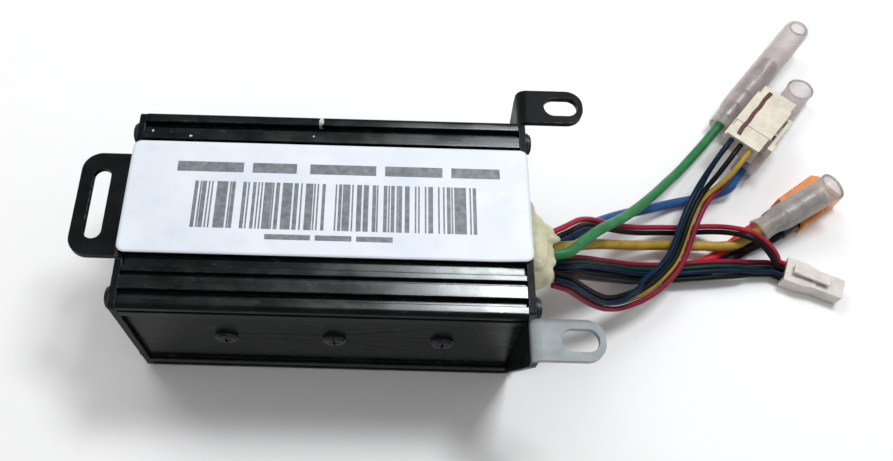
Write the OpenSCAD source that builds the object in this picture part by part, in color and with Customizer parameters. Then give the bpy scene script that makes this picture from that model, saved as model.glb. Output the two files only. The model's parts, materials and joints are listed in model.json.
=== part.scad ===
// Brushless motor speed controller: a ribbed aluminium case between two bent sheet-steel
// end plates, with a board inside and sixteen leads from a grommet in the right end.
// The face with the sticker lies in the plane of the mounting tabs.
// +X points to the wire end, +Y to the back, +Z up. The origin is under the middle of the
// case and its tabs, on the surface that it lies on.

/* [Case] */
// Length of the aluminium extrusion
case_len = 87; // [70:1:110]
// Width of the case
case_w = 49; // [48:0.5:52]
// Height of the case
case_h = 40; // [39:0.5:42]
// Radius of the long outer edges
case_edge_r = 1.2; // [0.6:0.1:1.8]
// Wall behind the ribs at the top and bottom
case_roof_t = 3.4; // [3.2:0.1:3.8]
// Wall at the sides, ribs included
case_side_t = 3; // [2.8:0.1:3.4]
// Depth of the flat recess along each side
recess_depth = 1; // [0.5:0.1:1.2]

/* [End plates] */
// Sheet thickness of both end plates
plate_t = 1.5; // [1:0.1:2]
// Corner radius of the end plates
plate_corner_r = 1.5; // [1:0.1:2.5]
// Inside radius of the bend between a plate and its tab
bend_r = 0.8; // [0.5:0.1:1.2]

/* [Mounting tabs] */
// How far the left tab stands out of its plate
left_tab_len = 11; // [10:0.5:13]
// Width of the left tab
left_tab_w = 25.6; // [22:0.2:28]
// How far each right tab stands out of its plate
right_tab_len = 14; // [13:0.5:16]
// Width of each right tab
right_tab_w = 9; // [8:0.5:10]
// Overall length of the slot in the left tab
left_slot_len = 17.6; // [14:0.2:19]
// Width of the slot in the left tab
left_slot_w = 4; // [3.4:0.2:4.4]
// Overall length of the slots in the right tabs
right_slot_len = 8; // [7:0.2:9]
// Width of the slots in the right tabs
right_slot_w = 5; // [4.2:0.1:5.2]

/* [Sticker] */
// Length of the sticker
label_len = 89; // [60:1:89]
// Width of the sticker
label_w = 28.2; // [20:0.2:30]
// Thickness of the sticker
label_t = 0.15; // [0.1:0.05:0.3]

/* [Leads] */
// Outer diameter of the motor and battery leads
power_d = 2.6; // [2.2:0.1:2.6]
// Outer diameter of the signal leads
signal_d = 1.4; // [1.2:0.05:1.4]

/* [Hidden] */
eps = 0.01;
gap = 0.1;
case_x = -(right_tab_len - left_tab_len) / 2;
case_x0 = case_x - case_len / 2;
case_x1 = case_x + case_len / 2;
left_face_x = case_x0 - plate_t;
right_face_x = case_x1 + plate_t;
half_w = case_w / 2;
cavity_half_w = half_w - case_side_t;
cavity_z0 = case_roof_t;
cavity_z1 = case_h - case_roof_t;

// Long grooves in the roof and floor: distance of each edge from the middle, and depth
roof_grooves = [[11.9, 14.7, 1.6], [16.2, 17.2, 1.2], [20.2, 21.9, 1.8]];
// Long grooves in the sides, measured up from the edge
side_groove_z = [2, 3];
side_recess_z = 5.4;

// Screws in the ends of the case
port_y = 20.8;
port_z = 4.2;
port_r = 2.9;
port_hole_r = 1.25;
end_screw_r = 1.5;
end_screw_head_r = 2.7;
end_screw_head_h = 1.7;
end_screw_len = 8;
plate_hole_r = 1.7;
port_places = [for (y = [-port_y, port_y], z = [port_z, case_h - port_z]) [y, z]];

// Screws through the front wall into the heat spreader
wall_screw_x = [0.5 - 24.6, 0.5, 0.5 + 24.6];
wall_screw_z = 21.4;
wall_screw_r = 1.5;
wall_screw_head_r = 2.6;
wall_screw_head_h = 1.3;

// Cable grommet in the right end plate
boot_z = 24;
boot_base_y = [-5, 3.4];
boot_base_r = 7;
boot_tip_y = [-4.9, 0.6];
boot_tip_r = 6;
boot_tip_x = 51;
boot_neck_y = [-4, 2.4];
boot_neck_r = 4.6;
boot_flange_r = 6.4;
boot_flange_t = 1.8;

// Board and what stands on it
board_t = 1.6;
board_z = 9.5;
board_top = board_z + board_t;
board_half_w = cavity_half_w - 0.3;
board_x0 = case_x0 + 2;
board_x1 = case_x1 - 6;
rail_t = 1.2;
rail_w = 1.7;
spreader_x0 = -38;
spreader_x1 = 39;
spreader_y0 = -cavity_half_w;
spreader_t = 4;
spreader_z0 = 13.6;
spreader_z1 = 30.6;
pad_t = 0.3;
fet_x = [for (i = [-2.5:1:2.5]) 0.5 + 12.3 * i];
fet_y0 = spreader_y0 + spreader_t + pad_t;
fet_w = 10;
fet_hole_z = 27;
fet_hole_r = 1.8;

// The sleeves over the motor terminals: tail, heading, tilt and length of each
sleeve_names = ["green", "blue", "yellow"];
sleeve_tail = [[106, 49, 3.8], [109.8, 34, 3.7], [110.2, 14.5, 6.2]];
sleeve_heading = [50, 52, 30];
sleeve_tilt = [6.5, 0, 12];
sleeve_len = [43, 37, 24];
sleeve_r = 3.6;
sleeve_wall = 0.5;
sleeve_tail_r = 2.9;
sleeve_tail_len = 5;
terminal_start = 4;
terminal_len = [22.5, 22.5, 15.5];

// Plugs: where the leads enter, heading, and size along, across and up
hall_plug = [[107.2, 37.4, 11.1], 50];
hall_plug_size = [20.5, 10.4, 6.4];
hall_pitch = 2.8;
control_plug = [[116.8, 5, 2.3], -22];
control_plug_size = [15, 6.8, 4.6];
control_pitch = 1.7;
battery_plug = [[121.2, 21.5, 2.5], 36];
battery_plug_size = [14.6, 9.8, 5];
battery_pitch = 5.2;
plug_hole_depth = 2.5;

// Routes of the leads, from the tip of the grommet to the plug or terminal
green_route = [[51, -3.6, 27], [54.5, -2.8, 27], [58, 0.2, 26], [62, 4, 23.8], [66.5, 7.8, 20.8],
    [71.5, 11.8, 17.4], [77, 17, 13.6], [83, 23.2, 9.6], [88.5, 29.2, 6.2], [93.5, 34.6, 3.8]];
blue_route = [[51, 2.6, 21], [54.5, 3.4, 20], [58.5, 6.4, 17.6], [62, 9.6, 15], [66, 12.8, 12.2],
    [70, 15.4, 9.8], [75.5, 18.4, 7], [81.5, 21, 4.6], [87, 23.4, 2.6], [92, 25.2, 1.5], [97, 26.4, 1.5],
    [101.4, 27.4, 1.9]];
yellow_route = [[51, -0.6, 24.6], [55, 0.4, 23.2], [59.5, 2.6, 19.8], [64, 4.8, 16], [68.5, 6.6, 12.4],
    [75, 8.6, 8], [81, 10.2, 5], [86.5, 11.1, 3.4], [91.5, 11.2, 3], [96, 11, 3.9], [100, 10.8, 4.3]];
battery_route = [[51, -4.2, 19.4], [55, -3.4, 17.6], [60, -1.2, 13.4], [66, 0.6, 8.4], [72, 2.2, 4.2],
    [77, 3, 1.9], [82, 3.5, 1.4], [87, 3.9, 1.4], [93, 4.8, 1.4], [98.5, 7, 1.4], [103, 9.8, 1.4],
    [107, 12.5, 1.4], [111, 15.1, 1.5]];
control_route = [[51, -4.4, 22.6], [55, -3.8, 21.4], [60, -1.6, 17.2], [66, 0.2, 12.2], [72, 1.7, 7.6],
    [77, 2.4, 5], [82, 2.9, 3.9], [87, 3.3, 3.7], [93, 3.9, 3.7], [99, 4.5, 3.7], [104, 5, 3.4],
    [109, 5.8, 2.6]];
brake_route = [[51, 1, 28], [54.5, 3, 27.4], [58.5, 6.4, 24.2], [62.5, 8.8, 20], [67.5, 10.2, 15.6],
    [73, 11.6, 11.4], [79, 13.4, 7.4], [85, 15.2, 4.2], [90, 16, 2.8], [94.5, 16.2, 3], [98.5, 15.5, 5],
    [102.6, 14, 7.3], [106.6, 12, 8.5], [110, 9.8, 7.4], [112.8, 7.7, 4.9]];
hall_route = [[51, -8.8, 25.4], [54.5, -9, 23.8], [58.5, -9.2, 19.6], [62.5, -9.4, 15.6], [66.5, -9, 12.2],
    [70.5, -7.8, 9.8], [75, -5.8, 8.6], [79.5, -3, 8], [83.4, 0.4, 7.6], [86.6, 4, 7.2], [89, 8, 6.8],
    [91, 12.2, 6.3], [93, 16.6, 6], [95.2, 21, 6.2], [98, 25.6, 7.2], [101, 29.6, 9]];

// Places of the thin leads in their bundles, across and up: loose, then at the plug
control_leads = ["crimson", "green", "navy", "black"];
control_loose = [[2.15, 0], [0.72, 0.1], [-0.72, 0.45], [-2.15, -0.3]];
control_at_plug = [[control_pitch, -0.9], [0, -0.9], [-control_pitch, 0.9], [-control_pitch, -0.9]];
brake_leads = ["red", "black"];
brake_loose = [[0.72, 0.2], [-0.72, -0.2]];
brake_at_plug = [[control_pitch, 0.9], [0, 0.9]];
hall_leads = ["navy", "green", "crimson", "black", "yellow"];
hall_loose = [[-0.74, 0.6], [1.46, -0.7], [-1.58, -0.8], [0.74, 0.6], [0, -0.7]];
// Radius at which the navy hall lead rolls over the black one, and none for the others
hall_roll = [1.6, 0, 0, 0, 0];
hall_at_plug = [[hall_pitch, 1.4], [hall_pitch, -1.4], [-hall_pitch, -1.4], [0, 1.4], [-hall_pitch, 1.4]];
battery_leads = ["red", "black"];
battery_side = 1.36;
shrink_len = 7;
shrink_r = 1.7;

sides_thin = 8;
sides_thick = 10;
ring_step = 4;

// ---- geometry helpers ----

function unit(v) = v / norm(v);
// Heading in the floor plane and tilt above it, in degrees, as a direction
function direction(heading, tilt = 0) =
    [cos(heading) * cos(tilt), sin(heading) * cos(tilt), sin(tilt)];
function level_left(t) = unit([-t[1], t[0], 0]);
function last(list) = list[len(list) - 1];
function at(list, i) = list[min(max(i, 0), len(list) - 1)];
function smoothstep(t) = let (u = min(max(t, 0), 1)) u * u * (3 - 2 * u);

// A point on the smooth curve through b and c, which a and d lie before and after
function on_curve(a, b, c, d, t) =
    0.5 * (2 * b + (c - a) * t + (2 * a - 5 * b + 4 * c - d) * t * t + (3 * b - a - 3 * c + d) * t * t * t);
// The route as rings about a step apart, along a smooth curve through its points
function smooth_route(p, step = ring_step) = concat(
    [for (i = [0:len(p) - 2])
        let (n = max(1, round(norm(p[i + 1] - p[i]) / step)))
        for (j = [0:n - 1]) on_curve(at(p, i - 1), p[i], p[i + 1], at(p, i + 2), j / n)],
    [last(p)]);
function tangent(p, i) = unit(at(p, i + 1) - at(p, i - 1));
// The same route moved across and up, from one place in the bundle to another at its end
function beside(p, loose, at_plug, roll = 0) =
    let (n = len(p) - 1)
    [for (i = [0:n])
        let (w = smoothstep((i / n - 0.68) / 0.19), turn = 180 * smoothstep((i / n - 0.24) / 0.2),
            o = (loose + roll * [1 - cos(turn), sin(turn)]) * (1 - w) + at_plug * w,
            t = tangent(p, i), left = level_left(t))
        p[i] + left * o[0] + cross(t, left) * o[1]];
// A route that ends straight along a plug's heading, or comes down to it by a drop
function into(route, entry, dir, run_up, depth, drop) =
    concat(route, [entry - dir * run_up + [0, 0, drop], entry - dir * run_up / 2 + [0, 0, drop / 4],
        entry, entry + dir * depth]);

// A closed tube of flats along the points
module tube(p, r, sides) {
    rings = [for (i = [0:len(p) - 1])
        let (t = tangent(p, i), n = level_left(t), b = cross(t, n))
        for (k = [0:sides - 1]) p[i] + r * (cos(360 * k / sides) * n + sin(360 * k / sides) * b)];
    walls = [for (i = [0:len(p) - 2], k = [0:sides - 1])
        let (a = i * sides + k, b = i * sides + (k + 1) % sides)
        [a, a + sides, b + sides, b]];
    start = [for (k = [0:sides - 1]) k];
    end = [for (k = [sides - 1:-1:0]) (len(p) - 1) * sides + k];
    polyhedron(rings, concat(walls, [start, end]), convexity = 6);
}

// Turns what is drawn along +X to a heading and tilt at a place
module placed(pos, heading, tilt = 0) {
    translate(pos) rotate([0, -tilt, heading]) children();
}

// A cylinder along +X
module rod_x(r, l, x = 0, y = 0, z = 0) {
    translate([x, y, z]) rotate([0, 90, 0]) cylinder(r = r, h = l, $fn = 48);
}

// A flat bar with round ends, standing on z = 0: l overall along X, or along Y
module slot_shape(l, w, h, along_y = false) {
    rotate([0, 0, along_y ? 90 : 0]) union() {
        translate([-(l - w) / 2, -w / 2, 0]) cube([l - w, w, h]);
        for (s = [-1, 1]) translate([s * (l - w) / 2, 0, 0]) cylinder(d = w, h = h, $fn = 48);
    }
}

// A rounded rectangle in the plane
module round_rect(w, h, r) {
    square([w - 2 * r, h], center = true);
    square([w, h - 2 * r], center = true);
    for (x = [-1, 1], y = [-1, 1])
        translate([x * (w / 2 - r), y * (h / 2 - r)]) circle(r = r, $fn = 48);
}

// A bar with long round ends across X, from one thickness station to the next
module oval_slab(y, r, x, t) {
    for (c = y) rod_x(r, t, x, c, boot_z);
    translate([x, y[0], boot_z - r]) cube([t, y[1] - y[0], 2 * r]);
}

// ---- case ----

module case_section() {
    difference() {
        union() {
            difference() {
                translate([0, case_h / 2]) round_rect(case_w, case_h, case_edge_r);
                translate([0, case_h / 2])
                    square([2 * cavity_half_w, cavity_z1 - cavity_z0], center = true);
            }
            for (p = port_places) translate(p) circle(r = port_r, $fn = 48);
            board_rails();
        }
        for (p = port_places) translate(p) circle(r = port_hole_r, $fn = 48);
        roof_and_floor_grooves();
        side_grooves();
    }
}

module board_rails() {
    for (y = [-1, 1], z = [board_z - gap - rail_t, board_top + gap])
        translate([y > 0 ? cavity_half_w - rail_w : -cavity_half_w - eps, z])
            square([rail_w + eps, rail_t]);
}

module roof_and_floor_grooves() {
    for (g = roof_grooves, y = [-1, 1]) {
        x0 = y > 0 ? g[0] : -g[1];
        translate([x0, case_h - g[2]]) square([g[1] - g[0], g[2] + eps]);
        translate([x0, -eps]) square([g[1] - g[0], g[2] + eps]);
    }
}

module side_grooves() {
    groove_h = side_groove_z[1] - side_groove_z[0];
    for (y = [-1, 1]) {
        x0 = y > 0 ? half_w - recess_depth : -half_w - eps;
        translate([x0, side_recess_z]) square([recess_depth + eps, case_h - 2 * side_recess_z]);
        for (z = [side_groove_z[0], case_h - side_groove_z[1]])
            translate([x0, z]) square([recess_depth + eps, groove_h]);
    }
}

module case_extrusion() {
    color([0.06, 0.07, 0.07]) difference() {
        translate([case_x0, 0, 0]) rotate([90, 0, 90]) linear_extrude(case_len) case_section();
        for (x = wall_screw_x)
            translate([x, -half_w - eps, wall_screw_z]) rotate([-90, 0, 0])
                cylinder(r = plate_hole_r, h = case_side_t + 2 * eps, $fn = 48);
    }
}

// ---- end plates ----

// The sheet of an end plate, lying against x = 0 and reaching to x = plate_t
module plate_sheet() {
    rotate([90, 0, 90]) linear_extrude(plate_t)
        translate([0, case_h / 2]) round_rect(case_w, case_h, plate_corner_r);
}

module plate_holes() {
    for (p = port_places) rod_x(plate_hole_r, plate_t + 2 * eps, -eps, p[0], p[1]);
}

// A tab bent out of the top of a plate over a width, and its quarter bend. Drawn along +X.
module bent_tab(len, w, corner_r) {
    bend_out = bend_r + plate_t;
    bend_x = plate_t + bend_r;
    translate([0, -w / 2, case_h - bend_out]) {
        difference() {
            translate([bend_x, 0, 0]) rotate([-90, 0, 0]) cylinder(r = bend_out, h = w, $fn = 64);
            translate([bend_x, -eps, 0]) rotate([-90, 0, 0]) cylinder(r = bend_r, h = w + 2 * eps, $fn = 64);
            translate([bend_x, -eps, -bend_out - eps])
                cube([bend_out + eps, w + 2 * eps, 2 * bend_out + 2 * eps]);
            translate([-eps, -eps, -bend_out - eps])
                cube([2 * bend_out, w + 2 * eps, bend_out + eps]);
        }
    }
    translate([bend_x - eps, 0, case_h - plate_t]) {
        translate([0, -w / 2, 0]) cube([plate_t + len - corner_r - bend_x, w, plate_t]);
        translate([0, -w / 2 + corner_r, 0]) cube([plate_t + len - bend_x, w - 2 * corner_r, plate_t]);
        for (s = [-1, 1])
            translate([plate_t + len - corner_r - bend_x, s * (w / 2 - corner_r), 0])
                cylinder(r = corner_r, h = plate_t, $fn = 64);
    }
}

// Clears the sheet where the bend starts
module bend_clearance(w) {
    relief = 0.6;
    translate([-eps, -w / 2 - relief, case_h - bend_r - plate_t])
        cube([plate_t + 2 * eps, w + 2 * relief, bend_r + plate_t + eps]);
}

module left_end_plate() {
    color([0.07, 0.07, 0.08]) translate([case_x0, 0, 0]) mirror([1, 0, 0]) difference() {
        union() {
            difference() {
                plate_sheet();
                bend_clearance(left_tab_w);
            }
            bent_tab(left_tab_len, left_tab_w, 4.4);
        }
        plate_holes();
        translate([plate_t + left_tab_len - 4.9, 0, case_h - plate_t - eps])
            slot_shape(left_slot_len, left_slot_w, plate_t + 2 * eps, true);
    }
}

// Outline of the right plate's two ears, which carry the tabs
module ear_outline() {
    ear_y = half_w + right_tab_w;
    for (s = [-1, 1])
        polygon([[s * (half_w - 3), 4], [s * half_w, 1.4], [s * ear_y, case_h - 5],
            [s * ear_y, case_h - bend_r - plate_t], [s * (half_w - 3), case_h - bend_r - plate_t]]);
}

module right_end_plate() {
    tab_y = half_w + right_tab_w / 2;
    color([0.55, 0.57, 0.58]) translate([case_x1, 0, 0]) difference() {
        union() {
            plate_sheet();
            rotate([90, 0, 90]) linear_extrude(plate_t) ear_outline();
            for (s = [-1, 1]) translate([0, s * tab_y, 0]) bent_tab(right_tab_len, right_tab_w, 4);
        }
        plate_holes();
        oval_slab(boot_neck_y, boot_neck_r, -eps, plate_t + 2 * eps);
        for (s = [-1, 1])
            translate([plate_t + right_tab_len - 5.25, s * tab_y, case_h - plate_t - eps])
                slot_shape(right_slot_len, right_slot_w, plate_t + 2 * eps);
    }
}

// ---- fasteners and trim ----

// A cross-recess pan-head screw along +X, with its seat at x = 0 and its thread behind it
module pan_screw(shank_r, shank_len, head_r, head_h) {
    difference() {
        union() {
            rod_x(shank_r, shank_len, -shank_len);
            rod_x(head_r, head_h * 0.55);
            rod_x(head_r - 0.35, head_h * 0.85);
            rod_x(head_r - 0.9, head_h);
        }
        for (a = [0, 90]) rotate([a, 0, 0])
            translate([head_h * 0.4, -head_r * 0.55, -0.3]) cube([head_h, head_r * 1.1, 0.6]);
    }
}

module end_screws() {
    for (p = port_places) translate([plate_t, p[0], p[1]]) rotate([30, 0, 0])
        pan_screw(port_hole_r - 0.02, end_screw_len, end_screw_head_r, end_screw_head_h);
}

module left_end_screws() {
    color([0.08, 0.08, 0.09]) translate([case_x0, 0, 0]) mirror([1, 0, 0]) end_screws();
}

module right_end_screws() {
    color([0.08, 0.08, 0.09]) translate([case_x1, 0, 0]) end_screws();
}

module wall_screws() {
    color([0.1, 0.1, 0.11]) for (x = wall_screw_x)
        translate([x, -half_w + recess_depth, wall_screw_z]) rotate([0, 0, -90])
            pan_screw(wall_screw_r - 0.02, 5.4, wall_screw_head_r, wall_screw_head_h);
}

module label() {
    color([0.9, 0.91, 0.93]) translate([case_x, 2.3, case_h]) linear_extrude(label_t)
        round_rect(label_len, label_w, 1.8);
}

module cable_grommet() {
    color([0.8, 0.78, 0.62]) {
        hull() {
            oval_slab(boot_base_y, boot_base_r, right_face_x, 1);
            oval_slab(boot_tip_y, boot_tip_r, boot_tip_x - 0.5, 0.5);
        }
        oval_slab(boot_neck_y, boot_neck_r - 0.04, case_x1 - eps, plate_t + 2 * eps);
        oval_slab(boot_neck_y, boot_flange_r, case_x1 - boot_flange_t, boot_flange_t);
    }
}

// ---- board and electronics ----

module circuit_board() {
    color([0.1, 0.32, 0.16]) difference() {
        translate([board_x0, -board_half_w, board_z])
            cube([board_x1 - board_x0, 2 * board_half_w, board_t]);
        for (x = fet_x, d = [-2.54, 0, 2.54])
            translate([x + d, fet_y0 + 2.4, board_z - eps])
                cylinder(r = 0.6, h = board_t + 2 * eps, $fn = 24);
    }
}

module heat_spreader() {
    color([0.75, 0.76, 0.78]) difference() {
        translate([spreader_x0, spreader_y0, spreader_z0])
            cube([spreader_x1 - spreader_x0, spreader_t, spreader_z1 - spreader_z0]);
        for (x = wall_screw_x) bar_hole(x, wall_screw_z, wall_screw_r);
        for (x = fet_x) bar_hole(x, fet_hole_z, port_hole_r);
    }
}

module bar_hole(x, z, r) {
    translate([x, spreader_y0 - eps, z]) rotate([-90, 0, 0])
        cylinder(r = r, h = spreader_t + 2 * eps, $fn = 32);
}

module insulating_pad() {
    color([0.75, 0.6, 0.65]) difference() {
        translate([fet_x[0] - 6, spreader_y0 + spreader_t, spreader_z0 + 0.5])
            cube([last(fet_x) - fet_x[0] + 12, pad_t, spreader_z1 - spreader_z0 - 0.5]);
        for (x = fet_x)
            translate([x, spreader_y0 + spreader_t - eps, fet_hole_z]) rotate([-90, 0, 0])
                cylinder(r = fet_hole_r, h = pad_t + 2 * eps, $fn = 32);
    }
}

// One transistor: tab against the pad, moulded body in front of it, three legs into the board
module mosfet(x) {
    leg_z0 = board_z - 0.6;
    body_z0 = 15;
    translate([x, fet_y0, 0]) {
        difference() {
            translate([-fet_w / 2, 0, body_z0]) cube([fet_w, 1.3, 15.4]);
            translate([0, -eps, fet_hole_z]) rotate([-90, 0, 0]) cylinder(r = fet_hole_r, h = 1.4, $fn = 32);
        }
        translate([-fet_w / 2, 1.3 - eps, body_z0]) cube([fet_w, 3.2, 9]);
        for (d = [-2.54, 0, 2.54]) translate([d - 0.4, 2.1, leg_z0]) cube([0.8, 0.6, body_z0 - leg_z0 + eps]);
    }
}

module mosfets() {
    color([0.13, 0.13, 0.14]) for (x = fet_x) mosfet(x);
}

module mosfet_screws() {
    color([0.7, 0.7, 0.72]) for (x = fet_x)
        translate([x, fet_y0 + 1.3, fet_hole_z]) rotate([0, 0, 90])
            pan_screw(port_hole_r - 0.02, 5.2, 2.4, 1.6);
}

// A radial can on the board, with a sleeve lip at its foot and a scored top
module can_capacitor(x, y, r, h) {
    translate([x, y, board_top]) {
        cylinder(r = r - 0.2, h = h, $fn = 48);
        cylinder(r = r, h = h * 0.12, $fn = 48);
        translate([0, 0, h * 0.16]) cylinder(r = r, h = h * 0.84 - 0.3, $fn = 48);
    }
}

module bulk_capacitors() {
    color([0.12, 0.12, 0.2]) for (x = [-2.5, 9, 20.5]) can_capacitor(x, 6, 5, 20);
}

module small_capacitors() {
    color([0.1, 0.1, 0.12]) {
        for (x = [-34, -27]) can_capacitor(x, 14, 2.5, 7);
        for (x = [-18, -6, 9]) can_capacitor(x, -5, 2, 5);
    }
}

module microcontroller() {
    color([0.1, 0.1, 0.1]) translate([-14, 7, board_top]) {
        translate([-5, -5, 0.1]) cube([10, 10, 1.4]);
        for (a = [0:90:270], i = [-5:5])
            rotate([0, 0, a]) translate([5 - eps, i * 0.8 - 0.18, 0]) cube([1, 0.36, 0.3]);
    }
}

module gate_drivers() {
    color([0.1, 0.1, 0.1]) for (x = [-24, 0.5, 25]) translate([x, -7.4, board_top]) {
        translate([-2.5, -2, 0.1]) cube([5, 4, 1.5]);
        for (i = [-1.5:1:1.5], s = [-1, 1])
            translate([i * 1.27 - 0.2, s > 0 ? 2 - eps : -3, 0]) cube([0.4, 1 + eps, 0.3]);
    }
}

module voltage_regulator() {
    color([0.15, 0.15, 0.16]) translate([-30, 3, board_top]) {
        translate([-3.3, -3, 0]) cube([6.6, 6.2, 2.3]);
        translate([-2.6, 3.2 - eps, 0]) cube([5.2, 1.4, 0.6]);
    }
}

module current_shunts() {
    color([0.72, 0.6, 0.4]) for (y = [14.6, 17.2]) translate([10, y, board_top]) {
        for (x = [0, 11]) translate([x, 0, 0]) cube([1.2, 1.2, 3]);
        translate([0, 0, 3 - eps]) cube([12.2, 1.2, 1.2]);
    }
}

module dropper_resistor() {
    color([0.55, 0.68, 0.62]) translate([-36, -4, board_top + 3.2]) {
        rotate([-90, 0, 0]) cylinder(r = 2.4, h = 9, $fn = 48);
        for (y = [0.4, 8]) translate([-0.35, y, -3.2]) cube([0.7, 0.7, 2]);
    }
}

module chip_resistors() {
    color([0.12, 0.12, 0.13]) {
        for (x = [-24:3.2:-4]) translate([x, 14.4, board_top]) cube([1.6, 0.9, 0.5]);
        for (x = [-20:3.2:-8]) translate([x, 17.4, board_top]) cube([1.6, 0.9, 0.5]);
        for (x = [-33:4:33]) translate([x, -12.2, board_top]) cube([2, 1.2, 0.6]);
    }
}

// Inner ends of the five power leads: place across, height in the grommet, setback of the post
power_inner = [[-7.6, 20.8, 2.4], [-4.4, 20.8, 2.4], [-1.2, 20.8, 2.4], [-7.6, 25.4, 6.4], [-4.4, 25.4, 6.4]];
post_h = 1.4;
// The eleven signal leads: place across of each column, and how many lie in it
signal_inner_y = [2.6, 4.6];
signal_inner_rows = [6, 5];
signal_row_z = 19.6;

module solder_posts() {
    color([0.75, 0.73, 0.68]) for (p = power_inner)
        translate([board_x1 - p[2], p[0], board_top]) cylinder(r = 1.5, h = post_h, $fn = 32);
}

// A lead that runs in from the grommet and turns down to the board
module inner_lead(y, z, setback, bottom, r) {
    x1 = board_x1 - setback;
    turn = 2.2 * r;
    tube([[case_x1 - boot_flange_t, y, z], [x1 + turn, y, z], [x1 + 0.3 * turn, y, z - 0.7 * turn],
        [x1 + 0.05, y, z - 1.8 * turn], [x1, y, bottom]], r, sides_thin);
}

module inner_leads() {
    color([0.3, 0.3, 0.32]) for (p = power_inner)
        inner_lead(p[0], p[1], p[2], board_top + post_h, power_d / 2);
}

module inner_signal_leads() {
    color([0.5, 0.2, 0.2]) for (c = [0, 1], row = [0:signal_inner_rows[c] - 1])
        inner_lead(signal_inner_y[c], signal_row_z + 1.75 * row, 1.2 + 1.6 * row, board_top, signal_d / 2);
}

// ---- leads ----

function sleeve_dir(i) = direction(sleeve_heading[i], sleeve_tilt[i]);
phase_routes = [green_route, blue_route, yellow_route];
function phase_path(i) = smooth_route(concat(phase_routes[i],
    [for (s = [-6.5, -3.5, 0, terminal_start]) sleeve_tail[i] + sleeve_dir(i) * s]));

function plug_path(route, plug, drop = 0) =
    smooth_route(into(route, plug[0], direction(plug[1]), 3, plug_hole_depth, drop), ring_step - 0.6);
control_path = plug_path(control_route, control_plug);
brake_path = plug_path(brake_route, control_plug, 0.8);
hall_path = plug_path(hall_route, hall_plug);
battery_path = smooth_route(concat(battery_route,
    [for (s = [-shrink_len - 1, -shrink_len / 2, 0, plug_hole_depth])
        battery_plug[0] + direction(battery_plug[1]) * s]));

module phase_lead(i) { tube(phase_path(i), power_d / 2, sides_thick); }
module signal_lead(path, loose, at_plug, roll = 0) {
    tube(beside(path, loose, at_plug, roll), signal_d / 2, sides_thin);
}
module battery_lead(side) {
    tube(beside(battery_path, [side * battery_side, 0], [side * battery_pitch / 2, 0]),
        power_d / 2, sides_thick);
}

module battery_heat_shrink() {
    color([0.04, 0.04, 0.04]) placed(battery_plug[0], battery_plug[1])
        for (s = [-1, 1]) difference() {
            rod_x(shrink_r, shrink_len - 1, -shrink_len + 1, s * battery_pitch / 2);
            rod_x(power_d / 2 + 0.03, shrink_len + 1, -shrink_len, s * battery_pitch / 2);
        }
}

// ---- motor terminals and their sleeves ----

// A female bullet terminal along +X: insulation crimp, wire crimp, neck and slotted socket
module terminal(i) {
    l = terminal_len[i];
    socket_x = 9.5;
    socket_r = 2.8;
    color([0.78, 0.76, 0.7]) placed(sleeve_tail[i], sleeve_heading[i], sleeve_tilt[i])
        translate([terminal_start, 0, 0]) difference() {
            union() {
                rod_x(1.9, 3.4);
                rod_x(1.3, 5.4);
                rod_x(2.2, 3.4, 4.8);
                rod_x(1.9, 2, 8);
                rod_x(socket_r, l - socket_x, socket_x);
            }
            rod_x(1.95, l - socket_x, socket_x + 1.5);
            translate([socket_x + 4, -0.4, -socket_r - eps]) cube([l, 0.8, 2 * socket_r + 2 * eps]);
        }
}

// A soft clear sleeve along +X: a narrow tail round the lead, then a wide hood past the socket
module sleeve(i) {
    l = sleeve_len[i];
    cone_end = sleeve_tail_len + 2.5;
    color([0.85, 0.82, 0.82, 0.5]) placed(sleeve_tail[i], sleeve_heading[i], sleeve_tilt[i])
        rotate([0, 90, 0]) rotate_extrude($fn = 48) polygon([
            [sleeve_tail_r - sleeve_wall, 0], [sleeve_tail_r, 0], [sleeve_tail_r, sleeve_tail_len],
            [sleeve_r, cone_end], [sleeve_r, l], [sleeve_r - sleeve_wall, l],
            [sleeve_r - sleeve_wall, cone_end], [sleeve_tail_r - sleeve_wall, sleeve_tail_len]]);
}

// ---- plugs ----

// Rear holes for the leads of a plug with three columns and two rows
module lead_holes(pitch, row) {
    for (y = [-pitch, 0, pitch], z = [-row, row]) rod_x(signal_d / 2 + 0.05, plug_hole_depth, -eps, y, z);
}

// Front sockets of the same plug
module sockets(l, pitch, row, w, depth) {
    for (y = [-pitch, 0, pitch], z = [-row, row])
        translate([l - depth, y - w / 2, z - w / 2]) cube([depth + eps, w, w]);
}

// The sprung contacts in those sockets, open at the front
module contacts(l, places, w, depth) {
    for (p = places) translate([l - depth, p[0] - w / 2, p[1] - w / 2]) difference() {
        cube([depth - 0.8, w, w]);
        translate([1, 0.35, 0.35]) cube([depth, w - 0.7, w - 0.7]);
    }
}

module hall_plug_housing() {
    l = hall_plug_size[0];
    w = hall_plug_size[1];
    h = hall_plug_size[2];
    latch_x = 9.2;
    color([0.82, 0.8, 0.74]) placed(hall_plug[0], hall_plug[1]) difference() {
        union() {
            translate([0, -w / 2 + 0.4, -h / 2 + 0.2]) cube([l, w - 0.8, h - 0.4]);
            translate([5.5, -w / 2, -h / 2]) cube([l - 9, w, h]);
            translate([1, w / 2 - 0.5, -1]) cube([l - 2, 0.8, 2]);
            translate([latch_x, -w / 2 - 0.6, -1.2]) cube([0.9, 0.7, 2.4]);
        }
        lead_holes(hall_pitch, 1.4);
        sockets(l, hall_pitch, 1.4, 2.1, 8);
    }
}

module hall_plug_terminals() {
    color([0.8, 0.68, 0.4]) placed(hall_plug[0], hall_plug[1])
        contacts(hall_plug_size[0], hall_at_plug, 2, 7.9);
}

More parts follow.
